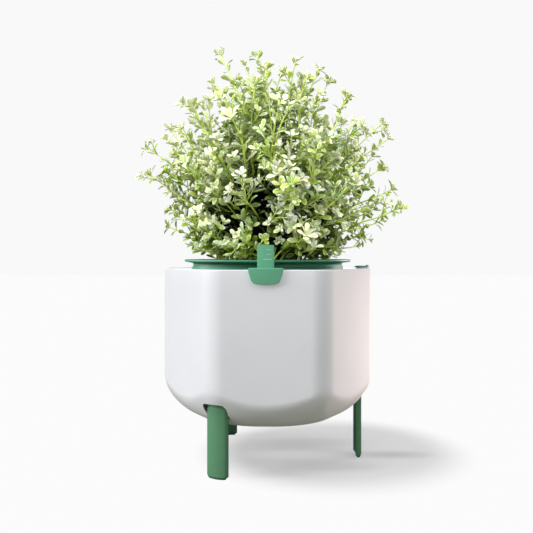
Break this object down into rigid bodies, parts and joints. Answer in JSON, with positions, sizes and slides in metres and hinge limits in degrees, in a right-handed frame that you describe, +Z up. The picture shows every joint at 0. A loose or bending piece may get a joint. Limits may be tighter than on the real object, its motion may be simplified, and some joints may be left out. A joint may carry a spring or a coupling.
{
  "type": "self watering planter",
  "caption": "Planted self-watering planter: six-sided bowl on push-in legs, lift-out round inner pot, float water gauge on the front rim and capped filling port in a corner.",
  "frame": {"origin": "on the floor, under the centre of the planter, which is the bowl's vertical axis", "axes": "+Z up; the front, with the water gauge, faces -Y; the corner with the filling port points along +X"},
  "size_m": [0.25, 0.25, 0.396],
  "materials": {
    "bowl_white": "satin white moulded plastic",
    "leg_green": "satin green moulded plastic",
    "pot_green": "satin dark green moulded plastic",
    "gauge_green": "satin mid green moulded plastic",
    "pad_rubber": "matt dark rubber",
    "float_foam": "white closed-cell foam",
    "pin_steel": "plain steel wire",
    "soil_brown": "moist dark potting soil, crumbly",
    "mat_felt": "grey needle felt",
    "stem_green": "yellow-green soft stems",
    "leaf_green": "variegated green leaves with cream edges"
  },
  "bodies": {
    "bowl": {"outer_bowl": "bowl_white", "leg_front_left": "leg_green", "leg_right": "leg_green", "leg_back": "leg_green", "foot_pad_front_left": "pad_rubber", "foot_pad_right": "pad_rubber", "foot_pad_back": "pad_rubber", "riser_ring": "pot_green", "gauge_clip": "gauge_green", "gauge_rear_cover": "gauge_green", "filler_neck": "bowl_white", "filler_hinge_pin": "pin_steel"},
    "inner_pot": {"inner_pot": "pot_green", "wicking_basket": "pot_green", "capillary_mat": "mat_felt", "soil": "soil_brown", "plant_stems": "stem_green", "plant_foliage": "leaf_green"},
    "gauge_float": {"gauge_stick": "gauge_green", "gauge_float": "float_foam", "gauge_float_pin": "pot_green"},
    "filler_cap": {"filler_cap": "gauge_green"}
  },
  "joints": [
    {"name": "inner_pot_lift", "type": "slide", "parent": "bowl", "child": "inner_pot", "axis": [0, 0, 1], "range_m": [0, 0.16]},
    {"name": "gauge_float_slide", "type": "slide", "parent": "bowl", "child": "gauge_float", "axis": [0, 0, 1], "range_m": [-0.017, 0.006]},
    {"name": "filler_cap_hinge", "type": "hinge", "parent": "bowl", "child": "filler_cap", "pos_m": [0.0973, 0, 0.1851], "axis": [0, 1, 0], "range_deg": [0, 115]}
  ]
}
